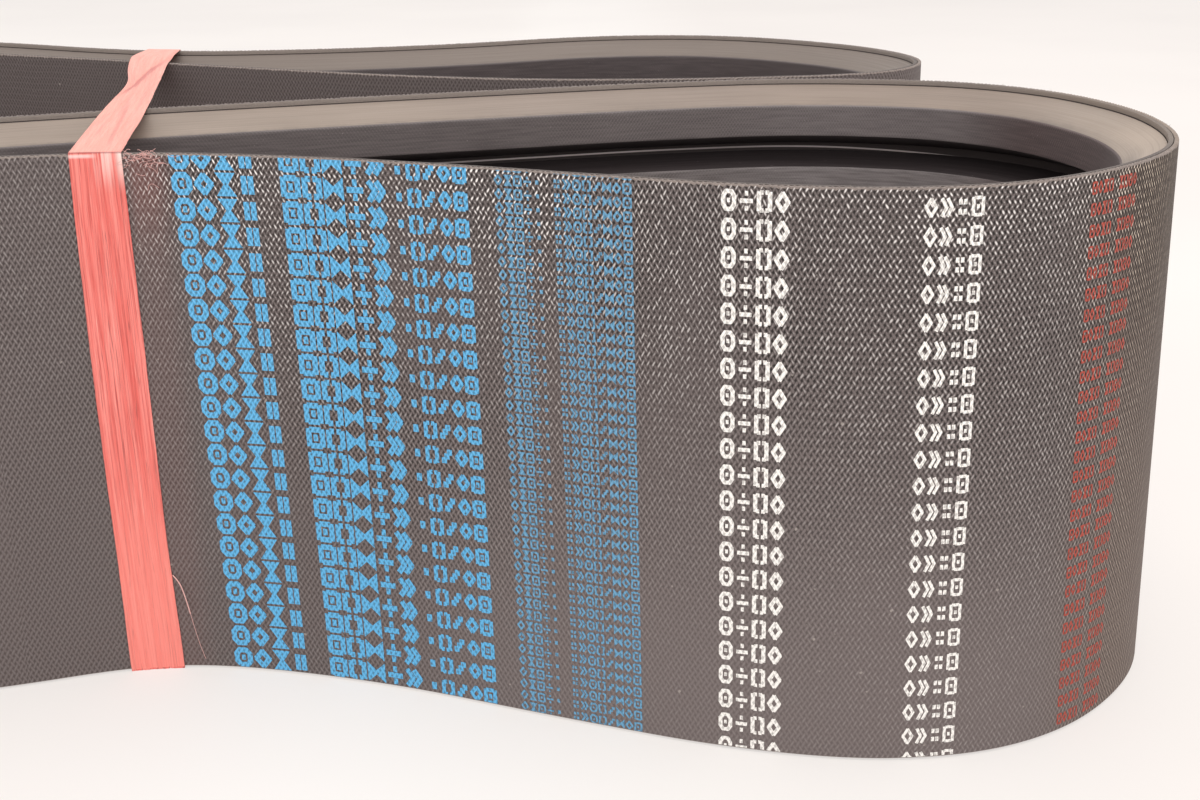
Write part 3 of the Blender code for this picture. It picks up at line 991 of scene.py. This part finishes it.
def add_tail(place, number, side, length, look):
    """A loose ribbon end: it leaves the knot sideways, hangs down and splits into strands."""
    rows, columns, strands = 34, 15, 5
    share = np.linspace(0, 1, rows)[:, None]
    across = np.linspace(-1, 1, columns)[None, :]
    reach = 9.65 * MM + 12 * MM * np.sin(share * math.pi / 2)
    drop = -length * share**1.6
    lean = math.pi / 2 * (1 - share) ** 2
    wide = 3.5 * MM * (1 - 0.25 * share)
    group = np.minimum((across * 0.5 + 0.5) * strands, strands - 1e-6)
    middle = (np.floor(group) + 0.5) / strands * 2 - 1
    loose = np.clip((share - 0.62) / 0.38, 0, 1)
    spread = across + (middle - across) * loose * 0.55 + middle * loose * 0.35
    sway = 0.9 * MM * np.sin(middle * 7 + share * 5) * loose
    x = (reach - np.cos(lean) * wide * spread) * side
    y = 1.5 * MM * np.sin(share * math.pi) + 0.35 * MM * np.sin(across * 8 + share * 3) + sway
    z = drop + np.sin(lean) * wide * spread - 1.3 * MM * np.sin(middle * 5 + number) * loose
    points = np.stack(np.broadcast_arrays(x, y, z), axis=-1)
    if side > 0:
        points = points[:, ::-1]
    flat = (np.linspace(0, length, rows), np.linspace(-3.5, 3.5, columns) * MM)
    made = grid_object(f"tie_end_{number}", points, flat, [look], angle=60)
    made.matrix_world = place
    thicken(made)
    piece(made, "split_film", f"tie_tail_{number}")


def fibre_object(name, paths, radius, look, slot):
    """Thin fibres, each a short curve through its points."""
    curve = bpy.data.curves.new(name, "CURVE")
    curve.dimensions = "3D"
    curve.bevel_depth = radius
    curve.bevel_resolution = 1
    curve.resolution_u = 3
    curve.use_fill_caps = True
    for path in paths:
        spline = curve.splines.new("NURBS")
        spline.points.add(len(path) - 1)
        for point, co in zip(spline.points, path):
            point.co = (*co, 1.0)
        spline.use_endpoint_u = True
        spline.order_u = 3
    curve.materials.append(look)
    piece(link(bpy.data.objects.new(name, curve)), slot)


def add_fibres(belt, look, pale):
    """Fluff rubbed off the ribbon beside its upper fold, and one long fibre near its foot."""
    middle = belt.nearest(TIE_FRONT)
    side = middle + (FRONT_MIDDLE[-1][1] + FRONT_HALF[-1][1]) * MM
    paths = []
    for number in range(FLUFF):
        down = abs(RNG.normal(0, 2.8)) * MM if number % 3 else abs(RNG.normal(0, 0.5)) * MM
        start = side + abs(RNG.normal(0, 4.6)) * MM
        height = TOP + 0.2 * MM - down
        heading = RNG.uniform(-0.6, 0.6) + (math.pi if number % 2 else 0.0)
        reach = RNG.uniform(0.6, 3.6) * MM
        bend = RNG.normal(0, 1.0, 3) * MM
        steps = np.linspace(0, 1, 6)
        arch = steps * (1 - steps) * 4
        along = start + np.cos(heading) * reach * steps + bend[0] * arch
        heights = height + np.sin(heading) * reach * steps + bend[1] * arch * 0.6
        lift = 0.08 * MM + abs(bend[2]) * arch * 0.4
        paths.append(belt.surface(along, heights, -lift))
    fibre_object("tie_fluff", paths, 0.05 * MM, look, "split_film")
    steps = np.linspace(0, 1, 12)
    along = middle + (6.0 + 6.8 * steps**0.62) * MM
    heights = (27 - 24 * steps) * MM + 0.8 * MM * np.sin(steps * 6)
    loose = belt.surface(along, heights, -(0.25 + 1.2 * np.sin(steps * math.pi)) * MM)
    split = loose[:6] + np.array((0.0, -0.0003, 0.0005)) * np.linspace(0, 1, 6)[:, None]
    fibre_object("tie_loose_fibre", [loose], 0.06 * MM, look, "split_film")
    fibre_object("tie_loose_strand", [loose[:6], split], 0.16 * MM, look, "split_film")
    fuzz = []
    for _ in range(FUZZ):
        start = RNG.uniform(0, belt.length)
        reach = RNG.uniform(0.15, 0.7) * MM
        steps = np.linspace(0, 1, 3)
        along = start + RNG.normal(0, 0.6) * reach * steps
        heights = TOP - 0.15 * MM + reach * steps * RNG.uniform(0.2, 1.0)
        depth = RNG.uniform(0, 0.9) * MM + RNG.normal(0, 0.4) * reach * steps
        fuzz.append(belt.surface(along, heights, depth))
    fibre_object("edge_fuzz", fuzz, 0.03 * MM, pale, "woven_cover")


# ---- floor, light and camera

FLOOR_RADIUS = 25.0
CAMERA_PLACE = Vector((0.11315, -0.51695, 0.20496))
CAMERA_DOWN = math.radians(18.033)
CAMERA_ROLL = math.radians(0.670)
LENS = 50.0


def add_floor():
    made = bmesh.new()
    bmesh.ops.create_circle(made, cap_ends=True, segments=96, radius=FLOOR_RADIUS)
    mesh = bpy.data.meshes.new("floor")
    made.to_mesh(mesh)
    made.free()
    look = Look("paper", roughness=0.75, specular=0.3)
    place = look.solid()
    color = place.noise(2.5, 3.0).step(0.3, 0.7).mix((0.325, 0.310, 0.300), (0.355, 0.340, 0.328))
    x = place.axis(0)
    # painted shade: the floor darkens towards the left and the right
    sides = (x.step(0.13, 0.28) * x.step(1.6, 0.5, 0.5, 1.0)).larger(x.step(0.06, -0.02, 0.0, 0.6))
    color = sides.tint(color, (0.86, 0.83, 0.82))
    look.inputs["Emission Color"].default_value = (1.0, 0.958, 0.930, 1.0)
    look.inputs["Emission Strength"].default_value = 0.585
    mesh.materials.append(look.done(color))
    link(bpy.data.objects.new("floor", mesh))


def add_light(name, place, target, size, power, color=(1.0, 1.0, 1.0)):
    data = bpy.data.lights.new(name, "AREA")
    data.shape = "RECTANGLE"
    data.size, data.size_y = size
    data.energy = power
    data.color = color
    lamp = link(bpy.data.objects.new(name, data))
    lamp.location = place
    lamp.rotation_euler = (Vector(target) - Vector(place)).to_track_quat("-Z", "Y").to_euler()


def add_world():
    world = bpy.data.worlds.new("studio")
    world.use_nodes = True
    back = world.node_tree.nodes["Background"]
    back.inputs["Color"].default_value = (1.0, 0.975, 0.95, 1.0)
    back.inputs["Strength"].default_value = 0.75
    bpy.context.scene.world = world


def add_camera():
    data = bpy.data.cameras.new("camera")
    data.lens = LENS
    data.sensor_width = 36.0
    data.clip_start, data.clip_end = 0.02, 50.0
    camera = link(bpy.data.objects.new("camera", data))
    tilt = Matrix.Rotation(math.pi / 2 - CAMERA_DOWN, 4, "X") @ Matrix.Rotation(-CAMERA_ROLL, 4, "Z")
    camera.matrix_world = Matrix.Translation(CAMERA_PLACE) @ tilt
    bpy.context.scene.camera = camera
    bpy.context.scene.view_settings.view_transform = "Standard"


def main():
    belt = Belt()
    looks = {
        "cover": cover_look(),
        "cut": cut_look("cover_edge", (0.185, 0.148, 0.134), (0.315, 0.262, 0.235)),
        "inner_cut": cut_look("ply_edge", (0.090, 0.072, 0.066), (0.15, 0.122, 0.110), 0.4),
        "ply_side": cut_look("ply_side", (0.245, 0.205, 0.182), (0.30, 0.252, 0.224)),
        "root": root_look(),
        # painted highlight: the rib's rounded foot is lighter than the groove's sides
        "rim": plain_rubber_look("groove_rim", (0.10, 0.085, 0.082)),
        "groove": groove_look("rib_side", (0.034, 0.026, 0.027), (0.052, 0.041, 0.042)),
        "top_flank": dusty_look("end_rib_side_upper", edge(RIBS - 1, THICKNESS, 1), 1),
        "bottom_flank": dusty_look("end_rib_side_lower", edge(0, THICKNESS, -1), -1),
        "face": facing_look(
            "rib_face", (0.105, 0.088, 0.086), (0.175, 0.150, 0.148), (0.235, 0.205, 0.20), 0.6
        ),
        "end_face": facing_look(
            "end_rib_face", (0.092, 0.075, 0.075), (0.134, 0.111, 0.110), (0.20, 0.172, 0.168), 0.8
        ),
        "cord": plain_rubber_look("cord_gum", (0.20, 0.165, 0.13)),
        "film": film_look("split_film", (0.50, 0.05, 0.04), (0.79, 0.135, 0.11), (0.93, 0.265, 0.225), True),
        "tail_film": film_look(
            "split_film_ends", (0.50, 0.055, 0.045), (0.74, 0.125, 0.10), (0.86, 0.235, 0.20)
        ),
        "fluff": plain_rubber_look("film_fluff", (0.86, 0.50, 0.46)),
        "fuzz": plain_rubber_look("thread_fuzz", (0.40, 0.34, 0.30)),
    }
    add_band(belt, looks)
    for index in range(RIBS):
        add_cords(belt, index, looks)
        add_rib(belt, index, looks)
        add_facing(belt, index, looks)
    add_print(belt, "print_blue", BLUE_PRINT, ink_look("blue_ink", (0.11, 0.43, 0.74), 0.06))
    add_print(belt, "print_blue_thin", THIN_PRINT, ink_look("thin_blue_ink", (0.13, 0.33, 0.52), 0.06))
    add_print(belt, "print_white", WHITE_PRINT, ink_look("white_ink", (0.90, 0.86, 0.82), 0.14))
    add_print(belt, "print_red", RED_PRINT, ink_look("red_ink", (0.42, 0.055, 0.032), 0.04))
    add_ribbon(belt, looks["film"])
    place = knot_place(belt)
    add_knot(place, looks["tail_film"])
    add_tail(place, 1, 1, 58 * MM, looks["tail_film"])
    add_tail(place, 2, -1, 44 * MM, looks["tail_film"])
    add_fibres(belt, looks["fluff"], looks["fuzz"])
    add_floor()
    add_world()
    add_light("overhead", (0.3, 0.1, 1.8), (0.0, 0.0, 0.0), (2.4, 2.0), 30.0, (1.0, 0.98, 0.95))
    add_light("front", (0.1, -1.9, 1.1), (0.0, -0.1, 0.06), (1.6, 1.2), 14.0)
    add_camera()


main()
